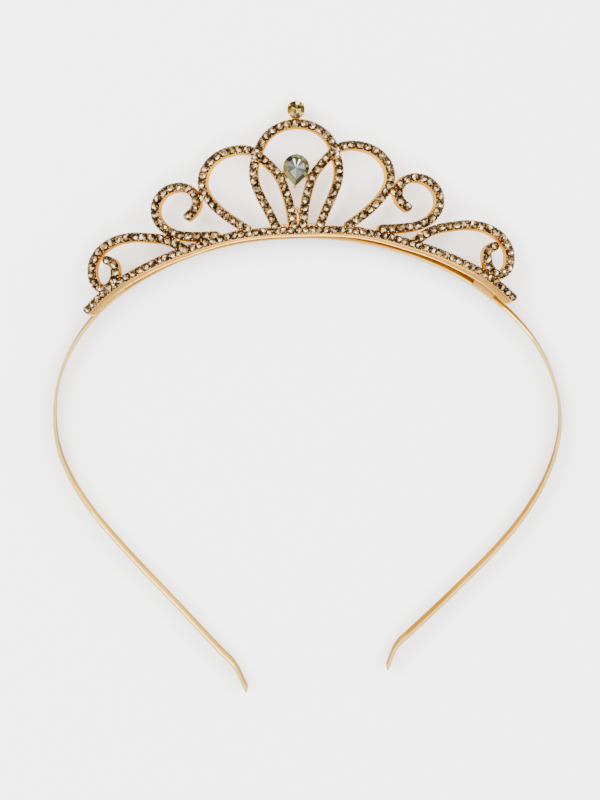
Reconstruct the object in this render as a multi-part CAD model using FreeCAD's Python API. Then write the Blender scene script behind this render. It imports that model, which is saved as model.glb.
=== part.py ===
"""Mini crown headband: an openwork tiara of stone-set rails on a thin metal headband.

It lies flat, as it does by itself on a table: the back edge of the headband is on the plane
Z = 0, the stones face up (+Z), and the crown's top points along +Y.
Sizes are in millimetres. The shape is drawn about the crown's own middle line and the top of
the headband, and the finished pieces are then moved so that the origin is the middle of the
outline, at the level that it rests on.
"""
import FreeCAD
import Part

import math
import os

Vector = FreeCAD.Vector

# Headband: a flat strip bent on edge
BAND_THICKNESS = 0.8
BAND_DEPTH = 5.0          # from its back edge, which it rests on, to its front edge
BAND_SLANT = {"right": 0.25, "up": 1.3}     # where the back edge stands, from the front edge

# Crown: rails that carry one row of stones each, all soldered together
RAIL_WIDTH = 2.7
RAIL_DEPTH = 2.2
BAR_WIDTH = 2.3
CROWN_FRONT = 8.0         # height of the rails' front faces over the resting plane, at the bar
CROWN_LEAN = 6.0          # degrees that the crown leans back
WING_START = 12.8         # from here outwards the two sides of the crown are bent back
WING_TURN = 2.7           # degrees of that bend
LEFT_IS_NEARER = {"inner_scroll": 0.2, "outer_scroll": 1.2}    # to the middle, than the right ones
RAILS_RISE = {"slope": 0.012, "until": 30.0}     # the rails stand higher on the right than left

# Foot: the lip under the base bar's lower side, which widens towards the bar's ends
FOOT_DEPTH = 1.2
FOOT_IN_MIDDLE = 0.4
FOOT_AT_END = {"left": 0.9, "right": 1.3}

# Tabs that carry the bar's ends on the headband
TAB_FROM = 46.0
TAB_TO = 51.4
TAB_BELOW_BAR = 2.6
TAB_WIDTH = 3.8
TAB_BACK = 2.8
TAB_FRONT = 5.7

# Stones. The small ones stand in one paved strip along every rail.
RAIL_PAVING_WIDTH = 2.2
BAR_PAVING_WIDTH = 2.0
PAVING_HEIGHT = 0.6
PIECE_GAP = 0.04          # clearance between pieces that touch on the real object

TOP_STONE = {"x": 0.5, "y": 34.25, "radius": 2.15, "table": 1.3, "crown": 0.8, "below": 1.3}
TOP_CUP_RADIUS = 2.45
TOP_CUP_BASE_RADIUS = 1.9
TOP_CUP_DEPTH = 2.2
STEM_WIDTH = 3.0

PEAR = {"x": 0.0, "y": 18.7, "radius": 3.5, "point": 5.2, "tilt": 5.5}
PEAR_FLANK_BULGE = 0.35
PEAR_LEVELS = [
    # outline, height
    (-0.9, -0.5),
    (0.0, 0.0),
    (0.0, 0.25),
    (-1.2, 1.2),
]
PEAR_BASE = {"outline": -0.7, "back": -2.0, "front": -0.54}
PEAR_LUG = {"y": 16.6, "width": 1.6, "reach": 4.4}

# Headband, front edge: distance from the crown's middle line, and height over the band's top.
# The two legs are bent by hand and differ. Each ends in a short tip that turns outwards.
BAND_TOP = (0.0, 0.0)
LEFT_LEG = [
    # out, up
    (10.5, -0.4),
    (20.9, -2.0),
    (29.0, -4.3),
    (37.0, -7.6),
    (45.2, -12.1),
    (51.2, -16.5),
    (57.0, -22.5),
    (61.8, -29.6),
    (64.9, -37.3),
    (66.1, -46.0),
    (65.5, -53.6),
    (63.0, -61.2),
    (58.4, -69.5),
    (52.2, -77.7),
    (34.3, -98.1),
    (23.5, -110.3),
    (20.8, -113.2),
    (17.5, -120.0),
]
RIGHT_LEG = [
    # out, up
    (8.5, -0.5),
    (16.6, -1.8),
    (26.8, -4.65),
    (34.8, -7.8),
    (42.7, -11.9),
    (50.6, -17.5),
    (58.6, -25.2),
    (64.0, -33.1),
    (67.2, -41.3),
    (68.4, -49.3),
    (67.5, -57.3),
    (64.6, -65.5),
    (59.9, -73.5),
    (53.7, -81.3),
    (37.5, -96.9),
    (25.9, -107.1),
    (23.1, -109.6),
    (20.3, -115.4),
]

# Crown, right half: distance from the middle line, and height over the band's top
BASE_BAR_TOP = (0.0, 1.85)
BASE_BAR = [
    # out, up
    (12.8, 1.4),
    (20.7, 0.2),
    (28.8, -2.1),
    (36.9, -4.9),
    (43.0, -7.7),
    (48.6, -10.8),
    (52.3, -13.5),
    (56.7, -17.6),
]
TOP_ARCH = {"x": 0.3, "y": 19.4, "radius": 11.15, "end_angle": 21.0, "steps": 6}
RAILS = {
    "heart": [
        # out, up
        (10.5, 23.2),
        (13.6, 24.1),
        (17.5, 23.9),
        (20.9, 22.6),
        (23.7, 20.1),
        (25.1, 16.8),
        (24.8, 13.3),
        (22.8, 10.1),
        (18.6, 6.1),
        (13.6, 2.7),
    ],
    "outer_petal": [
        # out, up
        (10.6, 22.2),
        (11.4, 18.8),
        (11.2, 15.2),
        (9.7, 11.2),
        (7.7, 7.2),
        (5.8, 3.0),
    ],
    "inner_petal": [
        # out, up
        (10.2, 22.7),
        (7.1, 19.7),
        (4.5, 16.4),
        (3.0, 12.4),
        (1.9, 8.0),
        (1.25, 3.0),
    ],
    "inner_scroll": [
        # out, up
        (22.4, 1.4),
        (27.8, 1.5),
        (32.9, 2.3),
        (36.7, 4.8),
        (38.1, 8.4),
        (36.8, 12.4),
        (32.7, 14.8),
        (28.7, 13.9),
        (27.1, 11.1),
        (27.7, 8.7),
        (29.5, 6.9),
    ],
    "outer_scroll": [
        # out, up
        (32.0, -1.75),
        (36.0, 0.6),
        (41.6, 1.7),
        (46.9, 1.8),
        (51.8, 0.2),
        (55.3, -3.2),
        (56.3, -7.4),
        (55.1, -10.8),
        (52.9, -11.6),
        (51.1, -10.3),
        (50.2, -7.4),
        (50.7, -4.9),
        (52.4, -4.0),
    ],
}


def unit(vector):
    """The same direction with length one."""
    return vector * (1.0 / vector.Length)


def left_of(direction):
    """The direction a quarter turn to the left, in the plan."""
    return Vector(-direction.y, direction.x, 0)


def other_side(points):
    """The same points on the other side of the middle line, run the other way."""
    return [(-x, y) for x, y in reversed(points)]


def far_direction(direction, chord):
    """The direction at an arc's far end, where it leaves its near end in this direction."""
    along = unit(chord)
    return unit(along * (2.0 * along.dot(direction)) - direction)


def smooth_path(points):
    """A line of tangent arcs through the points: (place, direction) at each end of an arc."""
    places = [Vector(x, y, 0) for x, y in points]
    spans = [b - a for a, b in zip(places, places[1:])]
    directions = []
    for before, after in zip(spans, spans[1:]):
        directions.append(unit(unit(before) * after.Length + unit(after) * before.Length))
    directions.insert(0, far_direction(directions[0], spans[0]))
    directions.append(far_direction(directions[-1], spans[-1]))

    knots = [(places[0], directions[0])]
    for i, span in enumerate(spans):
        start, end = directions[i], directions[i + 1]
        reach = span.dot(start + end)
        spread = 2.0 * (1.0 - start.dot(end))
        if spread < 1e-9:
            pull = span.dot(span) / (4.0 * span.dot(start))
        else:
            pull = (math.sqrt(reach ** 2 + spread * span.dot(span)) - reach) / spread
        middle = (places[i] + places[i + 1] + (start - end) * pull) * 0.5
        knots.append((middle, far_direction(start, middle - places[i])))
        knots.append((places[i + 1], end))
    return knots


def arc_between(start, direction, end):
    """The arc from start, leaving in this direction, to end; straight where it hardly turns."""
    chord = end - start
    along = unit(chord)
    turn = math.atan2(direction.x * along.y - direction.y * along.x, direction.dot(along))
    if abs(turn) < 0.004:
        return Part.LineSegment(start, end).toShape()
    bulge = left_of(along) * (-0.5 * chord.Length * math.tan(turn / 2.0))
    return Part.Arc(start, (start + end) * 0.5 + bulge, end).toShape()


def beside(knots, offset):
    """The same line moved this far to its left."""
    return [(place + left_of(direction) * offset, direction) for place, direction in knots]


def arcs_along(knots):
    """The edges of a line of arcs."""
    return [arc_between(a, way, b) for (a, way), (b, _) in zip(knots, knots[1:])]


def end_edge(knot, half, bulge):
    """The edge that closes a strip at one end: a half circle, or straight with no bulge."""
    place, direction = knot
    side = left_of(direction) * half
    if bulge:
        return Part.Arc(place + side, place + direction * bulge, place - side).toShape()
    return Part.LineSegment(place + side, place - side).toShape()


def strip_face(knots, width, round_start=True, round_end=True):
    """A strip of even width along a line of arcs."""
    half = width / 2.0
    edges = arcs_along(beside(knots, half)) + arcs_along(beside(knots, -half))
    edges.append(end_edge(knots[0], half, -half if round_start else 0.0))
    edges.append(end_edge(knots[-1], half, half if round_end else 0.0))
    return Part.Face(Part.Wire(Part.__sortEdges__(edges)))


def plate(face, back, front):
    """A flat plate of this outline, between two heights."""
    lowered = face.copy()
    lowered.translate(Vector(0, 0, back))
    return lowered.extrude(Vector(0, 0, front - back))


def soldered(solids):
    """One solid made of pieces that are soldered together."""
    whole = solids[0].multiFuse(solids[1:]).removeSplitter()
    if len(whole.Solids) != 1:
        raise ValueError("the pieces make %d solids" % len(whole.Solids))
    return whole.Solids[0]


def band_points():
    """The headband's front edge, from the left tip over the top to the right tip."""
    return other_side(LEFT_LEG) + [BAND_TOP] + RIGHT_LEG


def band_slant():
    """The way from the headband's front edge to its back edge."""
    return Vector(BAND_SLANT["right"], BAND_SLANT["up"], -BAND_DEPTH)


def headband():
    """The strip, drawn at its front edge and run back at its slant."""
    front = strip_face(smooth_path(band_points()), BAND_THICKNESS)
    front.translate(Vector(0, 0, BAND_DEPTH))
    return front.extrude(band_slant())


def inside_headband():
    """All the space within the headband's outer face, and a small gap beyond it."""
    outer = beside(smooth_path(band_points()), BAND_THICKNESS / 2.0 + PIECE_GAP)
    edges = arcs_along(outer) + [Part.LineSegment(outer[-1][0], outer[0][0]).toShape()]
    face = Part.Face(Part.Wire(edges))
    face.translate(Vector(0, 0, BAND_DEPTH) - band_slant())
    return face.extrude(band_slant() * 2.0)


def top_arch_points():
    """Points round the arch that closes the crown's middle."""
    first = 180.0 - TOP_ARCH["end_angle"]
    sweep = 2.0 * TOP_ARCH["end_angle"] - 180.0
    steps = TOP_ARCH["steps"]
    angles = [math.radians(first + sweep * i / steps) for i in range(steps + 1)]
    return [(TOP_ARCH["x"] + TOP_ARCH["radius"] * math.cos(angle),
             TOP_ARCH["y"] + TOP_ARCH["radius"] * math.sin(angle)) for angle in angles]


def bent_slab(back, front):
    """All the space between two heights, with the crown's two sides bent back."""
    reach = 100.0
    drop = (reach - WING_START) * math.tan(math.radians(WING_TURN))
    corners = []
    for height, sides in ((front, (-1, 1)), (back, (1, -1))):
        for side in sides:
            bend = Vector(side * WING_START, -reach, height)
            far_end = Vector(side * reach, -reach, height - drop)
            corners += [far_end, bend] if len(corners) % 4 == 0 else [bend, far_end]
    face = Part.Face(Part.makePolygon(corners + corners[:1]))
    return face.extrude(Vector(0, 2.0 * reach, 0))


def bent_plate(faces, back, front):
    """One plate of these outlines, bent as the crown is."""
    column = soldered([plate(face, -CROWN_FRONT, CROWN_FRONT) for face in faces])
    return column.common(bent_slab(back, front)).Solids[0]


def rail_faces(points, width):
    """A rail in two lengths that meet end to end, since a curl can touch its own start."""
    knots = smooth_path(points)
    half_way = len(knots) // 2
    first = strip_face(knots[:half_way + 1], width, round_end=False)
    second = strip_face(knots[half_way:], width, round_start=False)
    return [first, second]


def crown_faces(rail_width, bar_width):
    """Strips along every line of the crown, in the crown's own plane."""
    faces = rail_faces(top_arch_points(), rail_width)
    bar = smooth_path(other_side(BASE_BAR) + [BASE_BAR_TOP] + BASE_BAR)
    faces.append(strip_face(bar, bar_width))
    for name, points in RAILS.items():
        for side in (1, -1):
            nearer = LEFT_IS_NEARER.get(name, 0.0) if side < 0 else 0.0
            line = [risen(side * (x - nearer), y) for x, y in points]
            faces += rail_faces(line, rail_width)
    return faces


def risen(x, y):
    """A rail's place, a little higher the further right it is."""
    until = RAILS_RISE["until"]
    return (x, y + RAILS_RISE["slope"] * max(-until, min(until, x)))


def foot():
    """The lip under the base bar: from the bar's middle down to a line that drops away."""
    rows = [(-x, y, "left") for x, y in reversed(BASE_BAR)]
    rows += [BASE_BAR_TOP + ("right",)] + [(x, y, "right") for x, y in BASE_BAR]
    upper = smooth_path([(x, y) for x, y, _ in rows])
    end = BASE_BAR[-1][0]
    lower = []
    for i, (x, _, side) in enumerate(rows):
        place, direction = upper[2 * i]
        lip = FOOT_IN_MIDDLE + (FOOT_AT_END[side] - FOOT_IN_MIDDLE) * (x / end) ** 2
        edge = place - left_of(direction) * (BAR_WIDTH / 2.0 + lip)
        lower.append((edge.x, edge.y))
    under = smooth_path(lower)
    edges = arcs_along(upper) + arcs_along(under)
    for i in (0, -1):
        edges.append(Part.LineSegment(upper[i][0], under[i][0]).toShape())
    face = Part.Face(Part.Wire(Part.__sortEdges__(edges)))
    return bent_plate([face], -RAIL_DEPTH, -RAIL_DEPTH + FOOT_DEPTH)


def tabs():
    """Two short blocks from the bar's back to the headband's outer face."""
    blocks = []
    for side in (1, -1):
        line = []
        for out in (TAB_FROM, 0.5 * (TAB_FROM + TAB_TO), TAB_TO):
            line.append((side * out, bar_height(out) - TAB_BELOW_BAR))
        block = plate(strip_face(smooth_path(line), TAB_WIDTH), TAB_BACK, TAB_FRONT)
        blocks.append(block.cut(inside_headband()))
    return blocks


def bar_height(out):
    """The height of the base bar's line at this distance from the middle."""
    for (x0, y0), (x1, y1) in zip(BASE_BAR, BASE_BAR[1:]):
        if x0 <= out <= x1:
            return y0 + (y1 - y0) * (out - x0) / (x1 - x0)
    raise ValueError("outside the bar")


def pear_face(grow):
    """A drop: a round head and two bowed flanks that meet in a point, this much larger."""
    radius = PEAR["radius"] + grow
    point = PEAR["point"] + grow * PEAR["point"] / PEAR["radius"]
    drop = math.acos(radius / point)
    right = Vector(radius * math.sin(drop), -radius * math.cos(drop), 0)
    left = Vector(-right.x, right.y, 0)
    tip = Vector(0, -point, 0)
    bulge = Vector(math.cos(drop), -math.sin(drop), 0) * PEAR_FLANK_BULGE
    edges = [
        Part.Arc(left, Vector(0, radius, 0), right).toShape(),
        Part.Arc(right, (right + tip) * 0.5 + bulge, tip).toShape(),
        Part.Arc(tip, (left + tip) * 0.5 + Vector(-bulge.x, bulge.y, 0), left).toShape(),
    ]
    face = Part.Face(Part.Wire(edges))
    face.rotate(Vector(0, 0, 0), Vector(0, 0, 1), -PEAR["tilt"])
    face.translate(Vector(PEAR["x"], PEAR["y"], 0))
    return face


def pear_stone():
    """The drop-shaped stone: a sloped upper side round a flat table, over a slanted back."""
    wires = []
    for grow, height in PEAR_LEVELS:
        wire = pear_face(grow).OuterWire
        wire.translate(Vector(0, 0, height))
        wires.append(wire)
    return Part.makeLoft(wires, True, True)


def pear_setting():
    """The plate behind the drop-shaped stone, and the bar that solders it to both rails."""
    base = plate(pear_face(PEAR_BASE["outline"]), PEAR_BASE["back"], PEAR_BASE["front"])
    lug = Part.makeBox(2 * PEAR_LUG["reach"], PEAR_LUG["width"], 0.8,
                       Vector(-PEAR_LUG["reach"], PEAR_LUG["y"] - PEAR_LUG["width"] / 2.0,
                              PEAR_BASE["back"]))
    return [base, lug]


def turned(profile):
    """A round piece on the top stone's axis, from its (radius, height) corners."""
    corners = [Vector(TOP_STONE["x"] + radius, TOP_STONE["y"], height)
               for radius, height in profile]
    face = Part.Face(Part.makePolygon(corners + corners[:1]))
    return face.revolve(Vector(TOP_STONE["x"], TOP_STONE["y"], 0), Vector(0, 0, 1), 360)


def top_stone():
    """The round stone at the very top: a table, a sloped upper side and a cone below."""
    return turned([
        (0.0, -TOP_STONE["below"]),
        (TOP_STONE["radius"], 0.0),
        (TOP_STONE["radius"], 0.2),
        (TOP_STONE["table"], TOP_STONE["crown"]),
        (0.0, TOP_STONE["crown"]),
    ])


def top_cup():
    """The cup of the top stone, and the short stem that it stands on."""
    cup = turned([
        (0.0, -TOP_CUP_DEPTH),
        (TOP_CUP_BASE_RADIUS, -TOP_CUP_DEPTH),
        (TOP_CUP_RADIUS, -2.0 * PIECE_GAP),
        (TOP_STONE["radius"], -2.0 * PIECE_GAP),
        (0.0, -TOP_STONE["below"] - 2.0 * PIECE_GAP),
    ])
    foot_y = TOP_ARCH["y"] + TOP_ARCH["radius"]
    stem = Part.makeBox(STEM_WIDTH, TOP_STONE["y"] - foot_y, 0.5,
                        Vector(-STEM_WIDTH / 2.0, foot_y, -TOP_CUP_DEPTH))
    return [cup, stem]


def in_place(shape):
    """A piece drawn in the crown's own plane, leaned back to where the crown stands."""
    placed = shape.copy()
    placed.rotate(Vector(0, 0, 0), Vector(1, 0, 0), -CROWN_LEAN)
    placed.translate(Vector(0, 0, CROWN_FRONT))
    return placed


def crown_frame():
    """All the metal of the crown, soldered into one piece."""
    rails = bent_plate(crown_faces(RAIL_WIDTH, BAR_WIDTH), -RAIL_DEPTH, 0.0)
    metal = [rails, foot()] + top_cup() + pear_setting()
    return soldered([in_place(piece) for piece in metal] + tabs())


def stone_paving():
    """The rows of small stones, as one strip that follows every rail."""
    rows = crown_faces(RAIL_PAVING_WIDTH, BAR_PAVING_WIDTH)
    return in_place(bent_plate(rows, PIECE_GAP, PAVING_HEIGHT))


def main():
    """Make the pieces, put the origin at the middle of their outline, and write the files."""
    pieces = {
        "headband": headband(),
        "crown_frame": crown_frame(),
        "stone_paving": stone_paving(),
        "top_stone": in_place(top_stone()),
        "pear_stone": in_place(pear_stone()),
    }
    box = FreeCAD.BoundBox()
    for piece in pieces.values():
        box.add(piece.BoundBox)
    to_origin = Vector(-box.Center.x, -box.Center.y, 0)
    os.makedirs("parts", exist_ok=True)
    print("moved by %.3f, %.3f mm" % (to_origin.x, to_origin.y))
    for name, piece in pieces.items():
        piece.translate(to_origin)
        size = piece.BoundBox
        print("%-14s %6.1f x %5.1f x %4.1f mm, %7.1f mm3, %s, %d solid, %d faces" % (
            name, size.XLength, size.YLength, size.ZLength, piece.Volume,
            "valid" if piece.isValid() else "NOT VALID", len(piece.Solids), len(piece.Faces)))
        piece.exportStep(os.path.join("parts", name + ".step"))


main()
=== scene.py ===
# %% [markdown]
# # A mini crown headband
# The real object is a small crown of soldered metal rails, each holding one row of clear stones,
# on a thin polished headband. This lesson builds what the eye sees of it around the measured
# model. Loading that model first gives a fixed frame, so every piece made here goes straight to
# its true place and size.

import math
import random

import bmesh
import bpy
from mathutils import Matrix, Vector


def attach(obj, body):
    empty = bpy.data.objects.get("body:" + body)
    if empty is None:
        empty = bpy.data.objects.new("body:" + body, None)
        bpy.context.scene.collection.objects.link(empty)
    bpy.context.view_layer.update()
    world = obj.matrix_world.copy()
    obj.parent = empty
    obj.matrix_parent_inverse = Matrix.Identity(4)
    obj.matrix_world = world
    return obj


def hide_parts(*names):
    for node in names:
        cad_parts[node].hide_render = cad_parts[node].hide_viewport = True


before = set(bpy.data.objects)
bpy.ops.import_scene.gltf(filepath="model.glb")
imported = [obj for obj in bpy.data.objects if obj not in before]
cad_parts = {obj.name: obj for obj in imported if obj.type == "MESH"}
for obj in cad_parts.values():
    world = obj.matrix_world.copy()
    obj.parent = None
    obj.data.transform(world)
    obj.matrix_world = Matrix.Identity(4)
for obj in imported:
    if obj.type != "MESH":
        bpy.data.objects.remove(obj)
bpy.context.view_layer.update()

# %% [markdown]
# ## Floor, light and camera
# The crown lies on a white surface under even studio light, and is seen from almost straight
# above and from far away. A long lens at 1.2 m gives that nearly flat view. Three large lamps
# make the floor white and keep the shadows faint. The room itself stays dimmer than the floor,
# because polished metal shows its shape by what it mirrors: gold that finds only white around it
# looks like paper.

# %% Camera
MM = 0.001
VIEW_DISTANCE = 1200 * MM
VIEW_TILT = math.radians(2.3)
VIEW_ROLL = math.radians(1.75)
SEEN_PER_PIXEL = 0.265 * MM
SENSOR = 36.0
PIXELS_ON_LONG_SIDE = 800
LOOKED_AT = Vector((-2.235, -1.235, 8.0)) * MM

towards_camera = Vector((-math.sin(VIEW_TILT), 0, math.cos(VIEW_TILT)))
across = Vector((math.cos(VIEW_TILT), 0, math.sin(VIEW_TILT)))
upwards = Vector((0, 1, 0))
image_right = across * math.cos(VIEW_ROLL) - upwards * math.sin(VIEW_ROLL)
image_up = across * math.sin(VIEW_ROLL) + upwards * math.cos(VIEW_ROLL)

camera_data = bpy.data.cameras.new("camera")
camera = bpy.data.objects.new("camera", camera_data)
bpy.context.scene.collection.objects.link(camera)
turn = Matrix((image_right, image_up, towards_camera)).transposed().to_4x4()
camera.matrix_world = Matrix.Translation(LOOKED_AT + towards_camera * VIEW_DISTANCE) @ turn
camera_data.sensor_width = SENSOR
camera_data.lens = SENSOR / PIXELS_ON_LONG_SIDE * VIEW_DISTANCE / SEEN_PER_PIXEL
camera_data.clip_end = 10
bpy.context.scene.camera = camera
print("lens %.0f mm" % camera_data.lens)

# %% Floor and lamps
FLOOR_SIZE = 3.0
FLOOR_COLOUR = (0.95, 0.95, 0.95, 1)
FLOOR_DROP = 0.05 * MM                       # keeps the floor clear of the band's back edge
ROOM_COLOUR = (0.95, 0.97, 1.0, 1)
ROOM_STRENGTH = 1.6

floor_bm = bmesh.new()
bmesh.ops.create_grid(floor_bm, x_segments=1, y_segments=1, size=FLOOR_SIZE / 2)
floor_mesh = bpy.data.meshes.new("floor")
floor_bm.to_mesh(floor_mesh)
floor_bm.free()
floor = bpy.data.objects.new("floor", floor_mesh)
floor.location.z = -FLOOR_DROP
bpy.context.scene.collection.objects.link(floor)

floor_paint = bpy.data.materials.new("floor_paint")
floor_paint.use_nodes = True
floor_shader = floor_paint.node_tree.nodes["Principled BSDF"]
floor_shader.inputs["Base Color"].default_value = FLOOR_COLOUR
floor_shader.inputs["Roughness"].default_value = 0.8
floor_mesh.materials.append(floor_paint)

world = bpy.data.worlds.new("studio")
world.use_nodes = True
room = world.node_tree.nodes["Background"]
room.inputs["Color"].default_value = ROOM_COLOUR
room.inputs["Strength"].default_value = ROOM_STRENGTH
bpy.context.scene.world = world

LAMPS = [
    # name, place in m, size in m, watts
    ("lamp_left", (-0.9, 0.5, 0.9), 1.2, 56.0),
    ("lamp_right", (1.0, 0.3, 0.9), 1.2, 42.0),
    ("lamp_front", (0.0, -1.0, 1.0), 1.2, 38.0),
]
for name, place, size, watts in LAMPS:
    lamp = bpy.data.lights.new(name, "AREA")
    lamp.size = size
    lamp.energy = watts
    lamp_object = bpy.data.objects.new(name, lamp)
    lamp_object.location = place
    lamp_object.rotation_euler = (-Vector(place)).to_track_quat("-Z", "Y").to_euler()
    bpy.context.scene.collection.objects.link(lamp_object)
print("lamps:", len(LAMPS))

# %% [markdown]
# ## The measured lines
# Every rail of the crown follows one smooth line, and so does the headband. The tables below are
# the same short lists of places that the measured model was drawn from: how far out from the
# crown's middle line, and how far up from the top of the headband, in millimetres. Both sides of
# the crown follow the same lines, but the left scrolls stand a little nearer the middle and all
# rails rise slightly to the right. The headband's two legs are bent by hand and differ.

# %% Tables of the lines
LEFT_LEG = [
    # out, up
    (10.5, -0.4), (20.9, -2.0), (29.0, -4.3), (37.0, -7.6), (45.2, -12.1), (51.2, -16.5),
    (57.0, -22.5), (61.8, -29.6), (64.9, -37.3), (66.1, -46.0), (65.5, -53.6), (63.0, -61.2),
    (58.4, -69.5), (52.2, -77.7), (34.3, -98.1), (23.5, -110.3), (20.8, -113.2), (17.5, -120.0),
]
RIGHT_LEG = [
    # out, up
    (8.5, -0.5), (16.6, -1.8), (26.8, -4.65), (34.8, -7.8), (42.7, -11.9), (50.6, -17.5),
    (58.6, -25.2), (64.0, -33.1), (67.2, -41.3), (68.4, -49.3), (67.5, -57.3), (64.6, -65.5),
    (59.9, -73.5), (53.7, -81.3), (37.5, -96.9), (25.9, -107.1), (23.1, -109.6), (20.3, -115.4),
]
BAND_TOP = (0.0, 0.0)
BASE_BAR_TOP = (0.0, 1.85)
BASE_BAR = [
    # out, up
    (12.8, 1.4), (20.7, 0.2), (28.8, -2.1), (36.9, -4.9), (43.0, -7.7), (48.6, -10.8),
    (52.3, -13.5), (56.7, -17.6),
]
TOP_ARCH = {"x": 0.3, "y": 19.4, "radius": 11.15, "end_angle": 21.0, "steps": 6}
RAILS = {
    # out, up, from one end of the rail to the other
    "heart": [
        (10.5, 23.2), (13.6, 24.1), (17.5, 23.9), (20.9, 22.6), (23.7, 20.1), (25.1, 16.8),
        (24.8, 13.3), (22.8, 10.1), (18.6, 6.1), (13.6, 2.7),
    ],
    "outer_petal": [
        (10.6, 22.2), (11.4, 18.8), (11.2, 15.2), (9.7, 11.2), (7.7, 7.2), (5.8, 3.0),
    ],
    "inner_petal": [
        (10.2, 22.7), (7.1, 19.7), (4.5, 16.4), (3.0, 12.4), (1.9, 8.0), (1.25, 3.0),
    ],
    "inner_scroll": [
        (22.4, 1.4), (27.8, 1.5), (32.9, 2.3), (36.7, 4.8), (38.1, 8.4), (36.8, 12.4),
        (32.7, 14.8), (28.7, 13.9), (27.1, 11.1), (27.7, 8.7), (29.5, 6.9),
    ],
    "outer_scroll": [
        (32.0, -1.75), (36.0, 0.6), (41.6, 1.7), (46.9, 1.8), (51.8, 0.2), (55.3, -3.2),
        (56.3, -7.4), (55.1, -10.8), (52.9, -11.6), (51.1, -10.3), (50.2, -7.4), (50.7, -4.9),
        (52.4, -4.0),
    ],
}
LEFT_IS_NEARER = {"inner_scroll": 0.2, "outer_scroll": 1.2}
RAILS_RISE = {"slope": 0.012, "until": 30.0}

# %% Where the crown stands
MIDDLE = Vector((-1.273, 41.955, 0.0))       # the crown's middle line and the band's top
CROWN_FRONT = 8.0
CROWN_LEAN = math.radians(6.0)
WING_START = 12.8
WING_TURN = math.radians(2.7)
WALL_TURN = 0.28                             # how far the walls run in, for each mm of depth
WALL_TURN_FROM = 5.0                         # the walls near the middle stand straight,
WALL_TURN_OVER = 13.0                        # and over this much more they come to the full turn
BAND_DEPTH = 5.0
BAND_SLANT = {"right": 0.25, "up": 1.3}

# %% [markdown]
# ## A smooth line from a few places
# A Bezier curve with automatic handles runs smoothly through its points. Blender turns it into a
# chain of small straight steps when the curve is made a mesh, and that chain is all that the
# later pieces need. From it come evenly spaced places, each with the way the line runs there.

# %% Smooth lines and even steps
def line_through(places):
    """The smooth line through some (x, y) places, as closely spaced points."""
    curve = bpy.data.curves.new("line", "CURVE")
    curve.dimensions = "3D"
    curve.resolution_u = 12
    spline = curve.splines.new("BEZIER")
    spline.bezier_points.add(len(places) - 1)
    for point, (x, y) in zip(spline.bezier_points, places):
        point.co = (x, y, 0)
        point.handle_left_type = point.handle_right_type = "AUTO"
    holder = bpy.data.objects.new("line", curve)
    bpy.context.scene.collection.objects.link(holder)
    bpy.context.view_layer.update()
    mesh = bpy.data.meshes.new_from_object(holder)
    points = [v.co.copy() for v in mesh.vertices]
    bpy.data.objects.remove(holder)
    bpy.data.curves.remove(curve)
    bpy.data.meshes.remove(mesh)
    return points


def length_of(points):
    """The length of a line of points."""
    return sum((b - a).length for a, b in zip(points, points[1:]))


def even_steps(points, count):
    """(place, direction) at count + 1 even steps along a line of points."""
    step = length_of(points) / count
    stops = []
    run = 0.0
    for a, b in zip(points, points[1:]):
        span = (b - a).length
        while len(stops) * step <= run + span + 1e-6 and len(stops) <= count:
            place = a.lerp(b, (len(stops) * step - run) / span)
            stops.append((place, (b - a).normalized()))
        run += span
    ways = [way for _, way in stops]
    smooth = [(ways[max(i - 1, 0)] + ways[i] + ways[min(i + 1, count)]).normalized()
              for i in range(count + 1)]
    return [(place, way) for (place, _), way in zip(stops, smooth)]


def risen(x, y):
    """A rail's place, a little higher the further right it is."""
    until = RAILS_RISE["until"]
    return (x, y + RAILS_RISE["slope"] * max(-until, min(until, x)))


def other_side(places):
    """The same places on the other side of the middle line, run the other way."""
    return [(-x, y) for x, y in reversed(places)]


arch_angles = [180.0 - TOP_ARCH["end_angle"]
               + (2.0 * TOP_ARCH["end_angle"] - 180.0) * i / TOP_ARCH["steps"]
               for i in range(TOP_ARCH["steps"] + 1)]
arch_places = [(TOP_ARCH["x"] + TOP_ARCH["radius"] * math.cos(math.radians(angle)),
                TOP_ARCH["y"] + TOP_ARCH["radius"] * math.sin(math.radians(angle)))
               for angle in arch_angles]
band_line = line_through(other_side(LEFT_LEG) + [BAND_TOP] + RIGHT_LEG)
bar_line = line_through(other_side(BASE_BAR) + [BASE_BAR_TOP] + BASE_BAR)
rail_lines = {"top_arch": line_through(arch_places)}
for name, places in RAILS.items():
    rail_lines[name + "_right"] = line_through([risen(x, y) for x, y in places])
    nearer = LEFT_IS_NEARER.get(name, 0.0)
    rail_lines[name + "_left"] = line_through([risen(nearer - x, y) for x, y in places])
print("headband %.0f mm, base bar %.0f mm, other rails %.0f mm" % (
    length_of(band_line), length_of(bar_line), sum(map(length_of, rail_lines.values()))))

# %% [markdown]
# ## Running a section along a line
# Rails and headband are long pieces of one section. The section is a small closed loop of edges,
# which is extruded from one station of the line to the next. Beyond each end it goes on for a few
# stations while its width shrinks along a quarter circle, and that rounds the end off as if it
# had been filed.

# %% The sweep
NOSE_STEPS = 5
NOSE_ANGLE = 86.0                            # short of a quarter circle, so the end stays a face


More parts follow.
